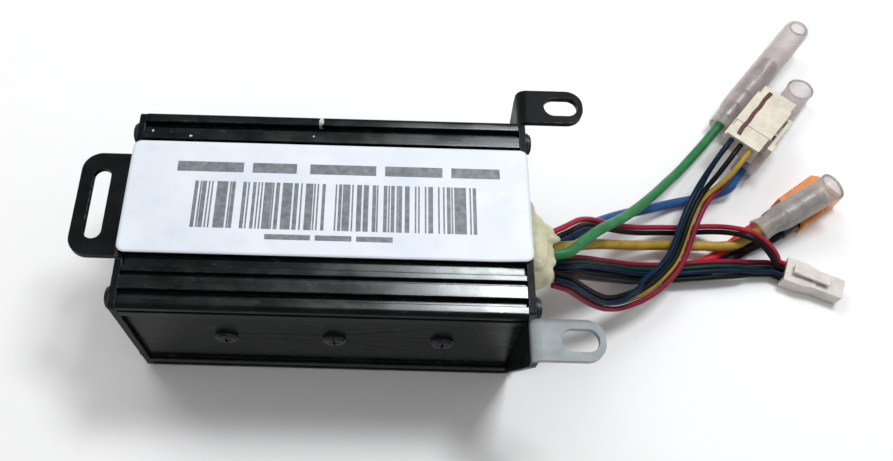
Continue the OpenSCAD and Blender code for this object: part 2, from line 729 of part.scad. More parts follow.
// The locking lever beside the housing, with a thumb pad at its rear and a hook at its front
module hall_plug_latch() {
    w = hall_plug_size[1];
    color([0.82, 0.8, 0.74]) placed(hall_plug[0], hall_plug[1]) translate([0, -w / 2 - 1.7, -1.7]) {
        translate([3.6, 0, 0]) cube([12.6, 1, 3.4]);
        translate([3.6, -0.5, 0]) cube([2.6, 0.6, 3.4]);
        translate([15.2, 0.9, 0]) cube([1, 0.5, 3.4]);
    }
}

module control_plug_housing() {
    l = control_plug_size[0];
    w = control_plug_size[1];
    h = control_plug_size[2];
    color([0.85, 0.84, 0.8]) placed(control_plug[0], control_plug[1]) difference() {
        union() {
            translate([0, 0, -h / 2]) linear_extrude(h)
                polygon([[0, -w / 2], [5, -w / 2], [8, -w / 2 + 0.7],
                    [8, w / 2 - 0.7], [5, w / 2], [0, w / 2]]);
            translate([8 - eps, -w / 2 + 0.7, -h / 2 + 0.3]) cube([l - 8, w - 1.4, h - 0.6]);
            translate([7, -1.2, h / 2 - eps]) cube([0.8, 2.4, 0.4]);
        }
        lead_holes(control_pitch, 0.9);
        sockets(l, control_pitch, 0.9, 1.4, 7);
    }
}

module control_plug_terminals() {
    places = concat(control_at_plug, brake_at_plug);
    color([0.8, 0.7, 0.45]) placed(control_plug[0], control_plug[1])
        contacts(control_plug_size[0], places, 1.3, 6.9);
}

module control_plug_latch() {
    h = control_plug_size[2];
    color([0.85, 0.84, 0.8]) placed(control_plug[0], control_plug[1]) translate([0, -1.2, h / 2 + 0.5]) {
        translate([1.6, 0, 0]) cube([9.4, 2.4, 0.8]);
        translate([1.6, 0, 0.7]) cube([1.8, 2.4, 0.4]);
        translate([10.2, 0, -0.5]) cube([0.8, 2.4, 0.6]);
    }
}

module battery_plug_housing() {
    l = battery_plug_size[0];
    w = battery_plug_size[1];
    h = battery_plug_size[2];
    color([0.9, 0.5, 0.14]) placed(battery_plug[0], battery_plug[1]) difference() {
        translate([0, 0, -h / 2]) linear_extrude(h)
            polygon([[0, -w / 2], [l, -w / 2], [l, w / 2 - 1.6], [l - 1.6, w / 2], [0, w / 2]]);
        for (s = [-1, 1]) {
            rod_x(shrink_r + 0.1, plug_hole_depth + eps, -eps, s * battery_pitch / 2);
            rod_x(1.85, l, plug_hole_depth + 1, s * battery_pitch / 2);
        }
        for (x = [3.6, 5.6, 7.6]) for (s = [-1, 1])
            translate([x, s > 0 ? w / 2 - 0.3 : -w / 2 - eps, -h / 2 - eps])
                cube([0.9, 0.3 + eps, h + 2 * eps]);
    }
}

module battery_plug_contacts() {
    l = battery_plug_size[0];
    color([0.85, 0.7, 0.35]) placed(battery_plug[0], battery_plug[1])
        for (s = [-1, 1]) difference() {
            rod_x(1.8, l - plug_hole_depth - 2.5, plug_hole_depth + 1, s * battery_pitch / 2);
            rod_x(1.05, l, plug_hole_depth + 3, s * battery_pitch / 2);
        }
}

// ---- what is drawn ----

case_extrusion();
left_end_plate();
right_end_plate();
left_end_screws();
right_end_screws();
wall_screws();
label();
cable_grommet();
circuit_board();
heat_spreader();
insulating_pad();
mosfets();
mosfet_screws();
bulk_capacitors();
small_capacitors();
microcontroller();
gate_drivers();
voltage_regulator();
current_shunts();
dropper_resistor();
chip_resistors();
solder_posts();
inner_leads();
inner_signal_leads();
for (i = [0:2]) {
    lead_colors = [[0.2, 0.5, 0.28], [0.14, 0.3, 0.6], [0.75, 0.55, 0.1]];
    color(lead_colors[i]) phase_lead(i);
    terminal(i);
    sleeve(i);
}
color([0.85, 0.15, 0.2]) battery_lead(1);  // battery_lead_red
color([0.05, 0.05, 0.05]) battery_lead(-1);  // battery_lead_black
battery_heat_shrink();
for (i = [0:1])
    color([[0.65, 0.15, 0.2], [0.05, 0.05, 0.05]][i])
            signal_lead(brake_path, brake_loose[i], brake_at_plug[i]);
for (i = [0:3])
    color([[0.5, 0.1, 0.18], [0.05, 0.2, 0.15], [0.08, 0.14, 0.3], [0.05, 0.05, 0.05]][i])
            signal_lead(control_path, control_loose[i], control_at_plug[i]);
for (i = [0:4])
    color([[0.08, 0.14, 0.3], [0.05, 0.2, 0.15], [0.55, 0.1, 0.25], [0.04, 0.04, 0.05],
            [0.75, 0.55, 0.1]][i])
            signal_lead(hall_path, hall_loose[i], hall_at_plug[i], hall_roll[i]);
hall_plug_housing();
hall_plug_terminals();
hall_plug_latch();
control_plug_housing();
control_plug_terminals();
control_plug_latch();
battery_plug_housing();
battery_plug_contacts();
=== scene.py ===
import json
import math

import bmesh
import bpy
from mathutils import Matrix, Vector, noise


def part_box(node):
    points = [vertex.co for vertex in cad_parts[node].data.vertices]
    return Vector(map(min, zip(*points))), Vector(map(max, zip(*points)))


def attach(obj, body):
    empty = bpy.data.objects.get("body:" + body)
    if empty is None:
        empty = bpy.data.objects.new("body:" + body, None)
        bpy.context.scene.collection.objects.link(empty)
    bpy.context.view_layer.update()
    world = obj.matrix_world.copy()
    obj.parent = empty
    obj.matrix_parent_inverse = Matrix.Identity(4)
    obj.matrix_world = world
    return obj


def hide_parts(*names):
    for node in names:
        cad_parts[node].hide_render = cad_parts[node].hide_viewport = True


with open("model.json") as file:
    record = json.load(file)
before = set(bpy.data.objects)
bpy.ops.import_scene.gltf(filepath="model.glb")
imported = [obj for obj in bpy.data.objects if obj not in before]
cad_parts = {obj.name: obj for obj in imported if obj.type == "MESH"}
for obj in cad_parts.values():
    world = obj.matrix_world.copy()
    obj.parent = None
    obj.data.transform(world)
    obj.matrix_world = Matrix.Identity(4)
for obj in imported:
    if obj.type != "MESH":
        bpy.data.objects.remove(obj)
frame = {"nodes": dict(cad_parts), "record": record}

MM = 0.001
SCENE = bpy.context.scene
NODES = frame["nodes"]
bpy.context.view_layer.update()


# ---- camera ----

CAMERA_PLACE = (9.46, -88.70, 208.38)
CAMERA_TURN = (27.0935, -0.8790, 1.3376)


def make_camera():
    data = bpy.data.cameras.new("camera")
    data.sensor_width = 36
    data.lens = 34.608
    data.shift_x = 0.0749
    data.shift_y = -0.0114
    data.clip_start = 0.01
    camera = bpy.data.objects.new("camera", data)
    camera.location = Vector(CAMERA_PLACE) * MM
    camera.rotation_euler = [math.radians(angle) for angle in CAMERA_TURN]
    SCENE.collection.objects.link(camera)
    SCENE.camera = camera


# ---- materials ----

class Shader:
    """A Principled material, with its colour, roughness and bump from nodes in object space."""

    def __init__(self, name, rough=0.5, metal=0.0, **sockets):
        self.mat = bpy.data.materials.new(name)
        self.mat.use_nodes = True
        self.tree = self.mat.node_tree
        self.bsdf = self.tree.nodes["Principled BSDF"]
        self.bsdf.inputs["Roughness"].default_value = rough
        self.bsdf.inputs["Metallic"].default_value = metal
        for key, value in sockets.items():
            self.bsdf.inputs[key.replace("_", " ")].default_value = value
        self.coords = self.node("ShaderNodeTexCoord").outputs["Object"]

    def node(self, kind, **settings):
        made = self.tree.nodes.new(kind)
        for key, value in settings.items():
            setattr(made, key, value)
        return made

    def put(self, value, socket):
        if isinstance(value, bpy.types.NodeSocket):
            self.tree.links.new(value, socket)
        elif value is not None:
            socket.default_value = value

    def math(self, kind, a, b=None, c=None):
        made = self.node("ShaderNodeMath", operation=kind)
        for value, socket in zip((a, b, c), made.inputs):
            self.put(value, socket)
        return made.outputs[0]

    def mix(self, share, a, b):
        made = self.node("ShaderNodeMix", data_type="RGBA")
        for value, socket in ((share, made.inputs["Factor"]), (a, made.inputs[6]), (b, made.inputs[7])):
            if isinstance(value, tuple):
                value = (*value[:3], 1)
            self.put(value, socket)
        return made.outputs[2]

    def noise(self, scale, detail=3, stretch=(1, 1, 1)):
        place = self.coords
        if stretch != (1, 1, 1):
            mapping = self.node("ShaderNodeMapping")
            mapping.inputs["Scale"].default_value = stretch
            self.put(place, mapping.inputs["Vector"])
            place = mapping.outputs[0]
        made = self.node("ShaderNodeTexNoise")
        made.inputs["Scale"].default_value = scale
        made.inputs["Detail"].default_value = detail
        made.inputs["Roughness"].default_value = 0.55
        self.put(place, made.inputs["Vector"])
        return made.outputs["Fac"]

    def ramp(self, value, low, high, to_low=0.0, to_high=1.0):
        made = self.node("ShaderNodeMapRange")
        for key, number in (("From Min", low), ("From Max", high), ("To Min", to_low), ("To Max", to_high)):
            made.inputs[key].default_value = number
        self.put(value, made.inputs["Value"])
        return made.outputs[0]

    def edges(self, radius):
        """1 at the edges of the shape within a radius, 0 on its flats."""
        bevel = self.node("ShaderNodeBevel", samples=6)
        bevel.inputs["Radius"].default_value = radius
        geometry = self.node("ShaderNodeNewGeometry")
        product = self.node("ShaderNodeVectorMath", operation="DOT_PRODUCT")
        self.put(bevel.outputs[0], product.inputs[0])
        self.put(geometry.outputs["Normal"], product.inputs[1])
        return self.ramp(self.math("SUBTRACT", 1.0, product.outputs["Value"]), 0.006, 0.12)

    def bump(self, height, distance):
        made = self.node("ShaderNodeBump")
        made.inputs["Distance"].default_value = distance
        self.put(height, made.inputs["Height"])
        before = self.bsdf.inputs["Normal"]
        if before.is_linked:
            self.put(before.links[0].from_socket, made.inputs["Normal"])
        self.put(made.outputs[0], before)

    def roughness(self, value):
        self.put(value, self.bsdf.inputs["Roughness"])

    def colour(self, value):
        if isinstance(value, tuple):
            value = (*value[:3], 1)
        self.put(value, self.bsdf.inputs["Base Color"])


def shade(colour, by):
    return tuple(min(1.0, max(0.0, c * by)) for c in colour)


def plain(name, colour, rough, metal=0.0, scale=350, stretch=(1, 1, 1), grain=0.00004, grain_scale=2500,
          worn=None, dust=None, **sockets):
    """A material of one stuff: mottled colour, uneven gloss, fine grain, and worn or dusty edges."""
    s = Shader(name, rough, metal, **sockets)
    patches = s.ramp(s.noise(scale, 4, stretch), 0.35, 0.65)
    fine = s.noise(grain_scale, 2, stretch)
    mixed = s.mix(patches, shade(colour, 0.82), shade(colour, 1.18))
    if dust:
        mixed = s.mix(s.ramp(s.noise(scale * 3.1, 5), 0.6, 0.74, 0, 0.55), mixed, dust)
    if worn:
        share = s.math("MULTIPLY", s.edges(0.0003), s.ramp(s.noise(900, 4), 0.4, 0.62, 0, 0.6))
        mixed = s.mix(share, mixed, worn)
    s.colour(mixed)
    s.roughness(s.ramp(s.math("ADD", patches, fine), 0.3, 1.7, rough - 0.09, rough + 0.09))
    s.bump(fine, grain)
    return s.mat


def anodised_material():
    """Black anodised extrusion: drawn lines along X, rubbed rib edges, and a few chips to bare metal."""
    s = Shader("black_anodised", 0.27, 0.0, Specular_IOR_Level=0.08)
    lines = s.noise(1500, 3, (0.02, 1, 1))
    patches = s.ramp(s.noise(120, 5), 0.38, 0.66)
    colour = s.mix(patches, (0.0022, 0.0034, 0.0032), (0.0055, 0.0075, 0.0075))
    dust = s.ramp(s.noise(700, 6, (0.5, 1, 1)), 0.6, 0.78, 0, 0.1)
    colour = s.mix(dust, colour, (0.32, 0.36, 0.38))
    rubbed = s.math("MULTIPLY", s.edges(0.00035), s.ramp(s.noise(420, 5), 0.46, 0.66, 0.05, 0.6))
    colour = s.mix(rubbed, colour, (0.22, 0.24, 0.25))
    bare = chips(s, [(-4.1, 23.3, 0.55, 1.7), (-43, 19.2, 0.25, 0.4), (-34.1, 18.1, 0.4, 0.25),
                     (-5.7, 18.8, 0.3, 0.25), (-27.5, -12.9, 0.5, 0.35), (36, -23.2, 0.5, 0.2)])
    colour = s.mix(s.math("MULTIPLY", bare, s.ramp(s.noise(1500, 4), 0.35, 0.6, 0.25, 1.0)), colour,
                   (0.60, 0.63, 0.64))
    s.colour(colour)
    s.roughness(s.ramp(s.math("ADD", lines, patches), 0.4, 1.5, 0.21, 0.33))
    s.bump(lines, 0.000012)
    s.bump(s.noise(2600, 2), 0.00001)
    s.bump(s.math("SUBTRACT", 1.0, bare), 0.00006)
    return s.mat


def chips(s, places):
    """1 inside small ragged spots on the top face: x, y, half length and half width in mm."""
    axes = s.node("ShaderNodeSeparateXYZ")
    s.put(s.coords, axes.inputs[0])
    ragged = s.ramp(s.noise(1800, 5), 0.3, 0.7, -0.9, 0.9)
    total = None

    def squared(value, middle, half):
        return s.math("POWER", s.math("DIVIDE", s.math("SUBTRACT", value, middle * MM), half * MM), 2)

    for x, y, half_x, half_y in places:
        round_spot = s.math("ADD", squared(axes.outputs[0], x, half_x), squared(axes.outputs[1], y, half_y))
        spot = s.math("LESS_THAN", s.math("ADD", round_spot, ragged), 1.0)
        total = spot if total is None else s.math("MAXIMUM", total, spot)
    high = s.math("GREATER_THAN", axes.outputs[2], 38.5 * MM)
    return s.math("MULTIPLY", total, high)


def plate_material(name, painted_tab_reflection):
    """Black finish on steel; when asked, the top of the front tab is painted light grey as a painted
    reflection of the lamp above it.
    """
    s = Shader(name, 0.36, 0.0, Specular_IOR_Level=0.08)
    patches = s.ramp(s.noise(160, 5), 0.36, 0.66)
    colour = s.mix(patches, (0.003, 0.0038, 0.0045), (0.008, 0.009, 0.010))
    if painted_tab_reflection:
        axes = s.node("ShaderNodeSeparateXYZ")
        s.put(s.coords, axes.inputs[0])
        high = s.ramp(axes.outputs[2], 37.5 * MM, 39 * MM)
        front = s.ramp(axes.outputs[1], -23.5 * MM, -25.5 * MM)
        uneven = s.ramp(s.noise(300, 5), 0.25, 0.75, 0.72, 1.0)
        share = s.math("MULTIPLY", s.math("MULTIPLY", high, front), uneven)
        # painted reflection: the light grey laid on the top of the front tab stands for the lamp mirrored in
        # its black finish
        colour = s.mix(share, colour, (0.34, 0.37, 0.39))
        brushed = s.noise(1800, 2, (0.05, 1, 1))
        s.bump(s.math("MULTIPLY", brushed, front), 0.00001)
    worn = s.math("MULTIPLY", s.edges(0.0003), s.ramp(s.noise(500, 4), 0.48, 0.66, 0.04, 0.5))
    colour = s.mix(worn, colour, (0.30, 0.33, 0.35))
    s.colour(colour)
    s.roughness(s.ramp(s.math("ADD", patches, s.noise(900, 3)), 0.4, 1.6, 0.32, 0.52))
    s.bump(s.noise(1700, 4), 0.00002)
    return s.mat


def label_material():
    """White sticker with soft generic grey bars: no letters, and bars that say nothing."""
    s = Shader("label_paper", 0.45, 0.0, Specular_IOR_Level=0.3)
    axes = s.node("ShaderNodeSeparateXYZ")
    s.put(s.coords, axes.inputs[0])
    x, y = axes.outputs[0], axes.outputs[1]

    def inside(value, low, high):
        over = s.math("GREATER_THAN", value, low * MM)
        return s.math("MULTIPLY", over, s.math("LESS_THAN", value, high * MM))

    def block(x0, x1, y0, y1):
        return s.math("MULTIPLY", inside(x, x0, x1), inside(y, y0, y1))

    def stripes(pitch, share):
        cells = s.node("ShaderNodeTexWhiteNoise", noise_dimensions="1D")
        s.put(s.math("FLOOR", s.math("MULTIPLY", x, 1 / (pitch * MM))), cells.inputs["W"])
        return s.math("GREATER_THAN", cells.outputs["Value"], share)

    ink = s.math("MULTIPLY", s.math("MAXIMUM", stripes(0.37, 0.56), stripes(0.83, 0.6)),
                 block(-32, 31.5, -5.5, 6.2))
    for b in ((-36, -21, 8.6, 11.2), (-19, -9, 8.6, 11.2), (-6, 9, 8.6, 11.2), (11, 24, 8.6, 11.2),
              (26, 37, 8.6, 11.2), (-15, -5, -8, -6.7), (-4, 4, -8, -6.7), (5, 13, -8, -6.7)):
        ink = s.math("MAXIMUM", ink, block(*b))
    paper = s.mix(s.ramp(s.noise(90, 4), 0.35, 0.65), (0.66, 0.71, 0.79), (0.74, 0.78, 0.84))
    smudge = s.ramp(s.noise(260, 6), 0.56, 0.8, 0, 0.16)
    paper = s.mix(smudge, paper, (0.42, 0.46, 0.5))
    faded = s.ramp(s.noise(700, 5), 0.3, 0.75, 0.72, 0.92)
    s.colour(s.mix(s.math("MULTIPLY", ink, faded), paper, (0.055, 0.068, 0.075)))
    s.roughness(s.ramp(s.noise(150, 3), 0.3, 0.7, 0.38, 0.52))
    s.bump(s.noise(260, 3), 0.00004)
    return s.mat


def sealant_material():
    """Cream rubber: soft light inside it, lumpy and grubby."""
    s = Shader("cream_rubber", 0.36, 0.0, IOR=1.42, Subsurface_Weight=0.25, Subsurface_Scale=0.002)
    s.bsdf.inputs["Subsurface Radius"].default_value = (1.0, 0.8, 0.5)
    patches = s.ramp(s.noise(240, 5), 0.32, 0.68)
    colour = s.mix(patches, (0.46, 0.44, 0.28), (0.66, 0.64, 0.44))
    colour = s.mix(s.ramp(s.noise(900, 5), 0.6, 0.8, 0, 0.4), colour, (0.22, 0.21, 0.14))
    s.colour(colour)
    s.roughness(s.ramp(patches, 0, 1, 0.28, 0.46))
    s.bump(s.noise(520, 4), 0.00022)
    return s.mat


def insulation_material(name, colour):
    """Extruded PVC: even gloss with faint handling marks, and darker smudges here and there."""
    s = Shader(name, 0.36, 0.0, Specular_IOR_Level=0.14)
    patches = s.ramp(s.noise(230, 4), 0.34, 0.66)
    mixed = s.mix(patches, shade(colour, 0.8), shade(colour, 1.14))
    mixed = s.mix(s.ramp(s.noise(800, 5), 0.6, 0.8, 0, 0.25), mixed, shade(colour, 0.4))
    s.colour(mixed)
    s.roughness(s.ramp(s.noise(600, 3), 0.3, 0.7, 0.26, 0.44))
    s.bump(s.noise(900, 3), 0.00003)
    return s.mat


def vinyl_material(name="clear_vinyl", alpha=(0.24, 0.78), tint=(0.52, 0.45, 0.44), creases=0.00012):
    """Soft clouded vinyl: clear enough to show the crimps, denser where it is seen at a slant."""
    s = Shader(name, 0.24, 0.0, IOR=1.42)
    clouds = s.ramp(s.noise(300, 5), 0.3, 0.7)
    s.colour(s.mix(clouds, shade(tint, 0.9), shade(tint, 1.1)))
    facing = s.node("ShaderNodeLayerWeight")
    facing.inputs["Blend"].default_value = 0.35
    slant = s.ramp(facing.outputs["Facing"], 0.1, 0.9, alpha[0], alpha[1])
    s.put(s.math("ADD", slant, s.ramp(clouds, 0, 1, -0.03, 0.05)), s.bsdf.inputs["Alpha"])
    s.roughness(s.ramp(s.noise(800, 4), 0.3, 0.7, 0.18, 0.34))
    s.bump(s.noise(420, 3), creases)
    return s.mat


def nylon_material(name, colour, glow):
    """Natural moulded nylon: waxy, slightly translucent, grubby in its corners."""
    s = Shader(name, 0.42, 0.0, IOR=1.5, Subsurface_Weight=glow, Subsurface_Scale=0.0015)
    s.bsdf.inputs["Subsurface Radius"].default_value = (1.0, 0.9, 0.7)
    patches = s.ramp(s.noise(320, 4), 0.34, 0.66)
    mixed = s.mix(patches, shade(colour, 0.86), shade(colour, 1.08))
    mixed = s.mix(s.ramp(s.noise(1100, 5), 0.58, 0.8, 0, 0.3), mixed, shade(colour, 0.5))
    s.colour(mixed)
    s.roughness(s.ramp(s.noise(700, 3), 0.3, 0.7, 0.34, 0.52))
    s.bump(s.noise(1600, 3), 0.00003)
    return s.mat


def tinned_material():
    """Dull tin plating, browner where it has worn thin."""
    s = Shader("tinned_brass", 0.46, 1.0)
    patches = s.ramp(s.noise(260, 4), 0.35, 0.66)
    colour = s.mix(patches, (0.27, 0.26, 0.235), (0.42, 0.41, 0.38))
    colour = s.mix(s.ramp(s.noise(500, 4), 0.64, 0.84, 0, 0.35), colour, (0.22, 0.19, 0.15))
    s.colour(colour)
    s.roughness(s.ramp(s.noise(500, 3), 0.3, 0.7, 0.4, 0.56))
    s.bump(s.noise(900, 2), 0.000006)
    return s.mat


def board_material():
    """Green solder mask over copper tracks, with tinned pads showing between the parts."""
    s = Shader("board_green", 0.32, 0.0)
    tracks = s.node("ShaderNodeTexBrick")
    tracks.inputs["Scale"].default_value = 160
    tracks.inputs["Mortar Size"].default_value = 0.03
    s.put(s.coords, tracks.inputs["Vector"])
    patches = s.ramp(s.noise(200, 4), 0.35, 0.65)
    base = s.mix(patches, (0.012, 0.09, 0.035), (0.02, 0.13, 0.05))
    s.colour(s.mix(s.math("MULTIPLY", tracks.outputs["Fac"], 0.6), base, (0.05, 0.22, 0.09)))
    s.roughness(s.ramp(s.noise(600, 3), 0.3, 0.7, 0.26, 0.4))
    s.bump(tracks.outputs["Fac"], 0.00003)
    return s.mat


WIRE_COLOURS = {"green": (0.036, 0.19, 0.068), "blue": (0.028, 0.095, 0.26), "yellow": (0.40, 0.255, 0.040),
                "red": (0.62, 0.018, 0.03), "black": (0.004, 0.004, 0.005), "crimson": (0.20, 0.014, 0.036),
                "dark_green": (0.004, 0.038, 0.028), "navy": (0.003, 0.012, 0.034),
                "brake_red": (0.34, 0.020, 0.045)}


def make_materials():
    made = {name: insulation_material("wire_" + name, colour) for name, colour in WIRE_COLOURS.items()}
    made.update({
        "black_anodised_case": anodised_material(),
        "black_plate": plate_material("black_plate", False),
        "grey_plate": plate_material("grey_plate", True),
        "label_paper": label_material(),
        "cream_rubber": sealant_material(),
        "clear_sleeve": vinyl_material(),
        "cloudy_sleeve": vinyl_material("cloudy_vinyl", (0.34, 0.85), (0.46, 0.43, 0.41), 0.0005),
        "sleeve_rim": vinyl_material("sleeve_rim", (0.4, 0.8), (0.26, 0.26, 0.29)),
        "ivory_nylon": nylon_material("ivory_nylon", (0.66, 0.61, 0.50), 0.2),
        "white_nylon": nylon_material("white_nylon", (0.66, 0.61, 0.56), 0.35),
        "orange_nylon": nylon_material("orange_nylon", (0.72, 0.24, 0.045), 0.1),
        "tinned_brass": tinned_material(),
        "board_green": board_material(),
        "dark_screws": plain("dark_screws", (0.02, 0.021, 0.023), 0.42, 0.6, worn=(0.3, 0.31, 0.32)),
        "bare_aluminium": plain("bare_aluminium", (0.7, 0.71, 0.73), 0.36, 1.0, stretch=(0.1, 1, 1)),
        "grey_pad": plain("grey_pad", (0.42, 0.42, 0.47), 0.75, grain=0.0001),
        "chip_black": plain("chip_black", (0.02, 0.02, 0.022), 0.55, dust=(0.2, 0.2, 0.2)),
        "bright_steel": plain("bright_steel", (0.62, 0.62, 0.64), 0.3, 1.0, worn=(0.8, 0.8, 0.8)),
        "capacitor_sleeve": plain("capacitor_sleeve", (0.012, 0.018, 0.06), 0.25, Coat_Weight=0.4),
        "shunt_alloy": plain("shunt_alloy", (0.5, 0.4, 0.26), 0.34, 1.0, stretch=(0.1, 1, 1)),
        "resistor_coat": plain("resistor_coat", (0.22, 0.36, 0.31), 0.6, grain=0.00012),
        "solder": plain("solder", (0.66, 0.65, 0.61), 0.28, 1.0, scale=700),
        "inner_wire": insulation_material("inner_wire", (0.03, 0.03, 0.035)),
        "heat_shrink": plain("heat_shrink", (0.008, 0.008, 0.009), 0.42, grain=0.00008, grain_scale=1400),
        "contact_brass": plain("contact_brass", (0.66, 0.45, 0.16), 0.28, 1.0),
        "red_mark": plain("red_mark", (0.085, 0.008, 0.011), 0.5, grain=0.00003, dust=(0.4, 0.2, 0.2)),
    })
    return made


# ---- mesh helpers ----

def add_object(name, mesh, material, body="controller"):
    made = bpy.data.objects.new(name, mesh)
    SCENE.collection.objects.link(made)
    made.data.materials.clear()
    made.data.materials.append(material)
    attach(made, body)
    return made


def from_bmesh(name, bm, material, body="controller", smooth=True):
    bmesh.ops.recalc_face_normals(bm, faces=bm.faces)
    mesh = bpy.data.meshes.new(name)
    bm.to_mesh(mesh)
    bm.free()
    for face in mesh.polygons:
        face.use_smooth = smooth
    return add_object(name, mesh, material, body)


def soften(obj, width, segments=2):
    """Rounds the hard edges of a shape a little, and shades its flats flat."""
    weld = obj.modifiers.new("weld", "WELD")
    weld.merge_threshold = 1e-6
    bevel = obj.modifiers.new("bevel", "BEVEL")
    bevel.width = width
    bevel.segments = segments
    bevel.limit_method = "ANGLE"
    bevel.angle_limit = math.radians(35)
    bevel.use_clamp_overlap = True
    bevel.miter_outer = "MITER_ARC"
    normals = obj.modifiers.new("normals", "WEIGHTED_NORMAL")
    normals.keep_sharp = True
    for face in obj.data.polygons:
        face.use_smooth = True
    for name in ("custom_normal", "sharp_edge", "sharp_face"):
        if name in obj.data.attributes:
            obj.data.attributes.remove(obj.data.attributes[name])


def loft(bm, rings, cap_start=True, cap_end=True):
    """Joins rings of points into a skin, and closes its ends if asked."""
    made = [[bm.verts.new(p) for p in ring] for ring in rings]
    n = len(made[0])
    for a, b in zip(made, made[1:]):
        for k in range(n):
            bm.faces.new((a[k], a[(k + 1) % n], b[(k + 1) % n], b[k]))
    if cap_start:
        bm.faces.new(made[0])
    if cap_end:
        bm.faces.new(made[-1][::-1])
    return made


def box_into(bm, place, low, high):
    """Adds a box between two corners in mm, in the frame of a plug."""
    corners = [bm.verts.new(place @ (Vector((x, y, z)) * MM))
               for x in (low[0], high[0]) for y in (low[1], high[1]) for z in (low[2], high[2])]
    for quad in ((0, 1, 3, 2), (4, 6, 7, 5), (0, 4, 5, 1), (2, 3, 7, 6), (0, 2, 6, 4), (1, 5, 7, 3)):
        bm.faces.new([corners[i] for i in quad])


def placed(position, heading, tilt=0.0):
    """The frame of a plug or sleeve: its own X runs along a heading, tilted up."""
    return (Matrix.Translation(Vector(position) * MM) @ Matrix.Rotation(math.radians(heading), 4, "Z")
            @ Matrix.Rotation(math.radians(-tilt), 4, "Y"))


# ---- routes of the leads, in mm as the part has them ----

POWER_D = 2.6
SIGNAL_D = 1.4
SLEEVES = {"green": ((106, 49, 3.8), 50, 6.5, 43), "blue": ((109.8, 34, 3.7), 52, 0, 37),
           "yellow": ((110.2, 14.5, 6.2), 30, 12, 24)}
TERMINAL_START = 4
HALL_PLUG = ((107.2, 37.4, 11.1), 50)
CONTROL_PLUG = ((116.8, 5, 2.3), -22)
BATTERY_PLUG = ((121.2, 21.5, 2.5), 36)
HALL_PITCH, CONTROL_PITCH, BATTERY_PITCH = 2.8, 1.7, 5.2
HOLE_DEPTH = 2.5
SHRINK_LEN = 7

PHASE_ROUTES = {
    "green": [(51, -3.6, 27), (54.5, -2.8, 27), (58, 0.2, 26), (62, 4, 23.8), (66.5, 7.8, 20.8),
              (71.5, 11.8, 17.4), (77, 17, 13.6), (83, 23.2, 9.6), (88.5, 29.2, 6.2), (93.5, 34.6, 3.8)],
    "blue": [(51, 2.6, 21), (54.5, 3.4, 20), (58.5, 6.4, 17.6), (62, 9.6, 15), (66, 12.8, 12.2),
             (70, 15.4, 9.8), (75.5, 18.4, 7), (81.5, 21, 4.6), (87, 23.4, 2.6), (92, 25.2, 1.5),
             (97, 26.4, 1.5), (101.4, 27.4, 1.9)],
    "yellow": [(51, -0.6, 24.6), (55, 0.4, 23.2), (59.5, 2.6, 19.8), (64, 4.8, 16), (68.5, 6.6, 12.4),
               (75, 8.6, 8), (81, 10.2, 5), (86.5, 11.1, 3.4), (91.5, 11.2, 3), (96, 11, 3.9),
               (100, 10.8, 4.3)],
}
BATTERY_ROUTE = [(51, -4.2, 19.4), (55, -3.4, 17.6), (60, -1.2, 13.4), (66, 0.6, 8.4), (72, 2.2, 4.2),
                 (77, 3, 1.9), (82, 3.5, 1.4), (87, 3.9, 1.4), (93, 4.8, 1.4), (98.5, 7, 1.4),
                 (103, 9.8, 1.4), (107, 12.5, 1.4), (111, 15.1, 1.5)]
CONTROL_ROUTE = [(51, -4.4, 22.6), (55, -3.8, 21.4), (60, -1.6, 17.2), (66, 0.2, 12.2), (72, 1.7, 7.6),
                 (77, 2.4, 5), (82, 2.9, 3.9), (87, 3.3, 3.7), (93, 3.9, 3.7), (99, 4.5, 3.7),
                 (104, 5, 3.4), (109, 5.8, 2.6)]
BRAKE_ROUTE = [(51, 1, 28), (54.5, 3, 27.4), (58.5, 6.4, 24.2), (62.5, 8.8, 20), (67.5, 10.2, 15.6),
               (73, 11.6, 11.4), (79, 13.4, 7.4), (85, 15.2, 4.2), (90, 16, 2.8), (94.5, 16.2, 3),
               (98.5, 15.5, 5), (102.6, 14, 7.3), (106.6, 12, 8.5), (110, 9.8, 7.4), (112.8, 7.7, 4.9)]
HALL_ROUTE = [(51, -8.8, 25.4), (54.5, -9, 23.8), (58.5, -9.2, 19.6), (62.5, -9.4, 15.6), (66.5, -9, 12.2),
              (70.5, -7.8, 9.8), (75, -5.8, 8.6), (79.5, -3, 8), (83.4, 0.4, 7.6), (86.6, 4, 7.2),
              (89, 8, 6.8), (91, 12.2, 6.3), (93, 16.6, 6), (95.2, 21, 6.2), (98, 25.6, 7.2), (101, 29.6, 9)]

# Each thin lead: insulation, place in the bundle (across, up), place at the plug, and its roll radius
CONTROL_LEADS = {"crimson": ("crimson", (2.15, 0), (CONTROL_PITCH, -0.9), 0),
                 "green": ("dark_green", (0.72, 0.1), (0, -0.9), 0),
                 "navy": ("navy", (-0.72, 0.45), (-CONTROL_PITCH, 0.9), 0),
                 "black": ("black", (-2.15, -0.3), (-CONTROL_PITCH, -0.9), 0)}
BRAKE_LEADS = {"red": ("brake_red", (0.72, 0.2), (CONTROL_PITCH, 0.9), 0),
               "black": ("black", (-0.72, -0.2), (0, 0.9), 0)}
HALL_LEADS = {"navy": ("navy", (-0.74, 0.6), (HALL_PITCH, 1.4), 1.6),
              "green": ("dark_green", (1.46, -0.7), (HALL_PITCH, -1.4), 0),
              "crimson": ("crimson", (-1.58, -0.8), (-HALL_PITCH, -1.4), 0),
              "black": ("black", (0.74, 0.6), (0, 1.4), 0),
              "yellow": ("yellow", (0, -0.7), (-HALL_PITCH, 1.4), 0)}


def direction(heading, tilt=0.0):
    heading, tilt = math.radians(heading), math.radians(tilt)
    return Vector((math.cos(heading) * math.cos(tilt), math.sin(heading) * math.cos(tilt), math.sin(tilt)))


def smoothstep(t):
    t = min(max(t, 0), 1)
    return t * t * (3 - 2 * t)


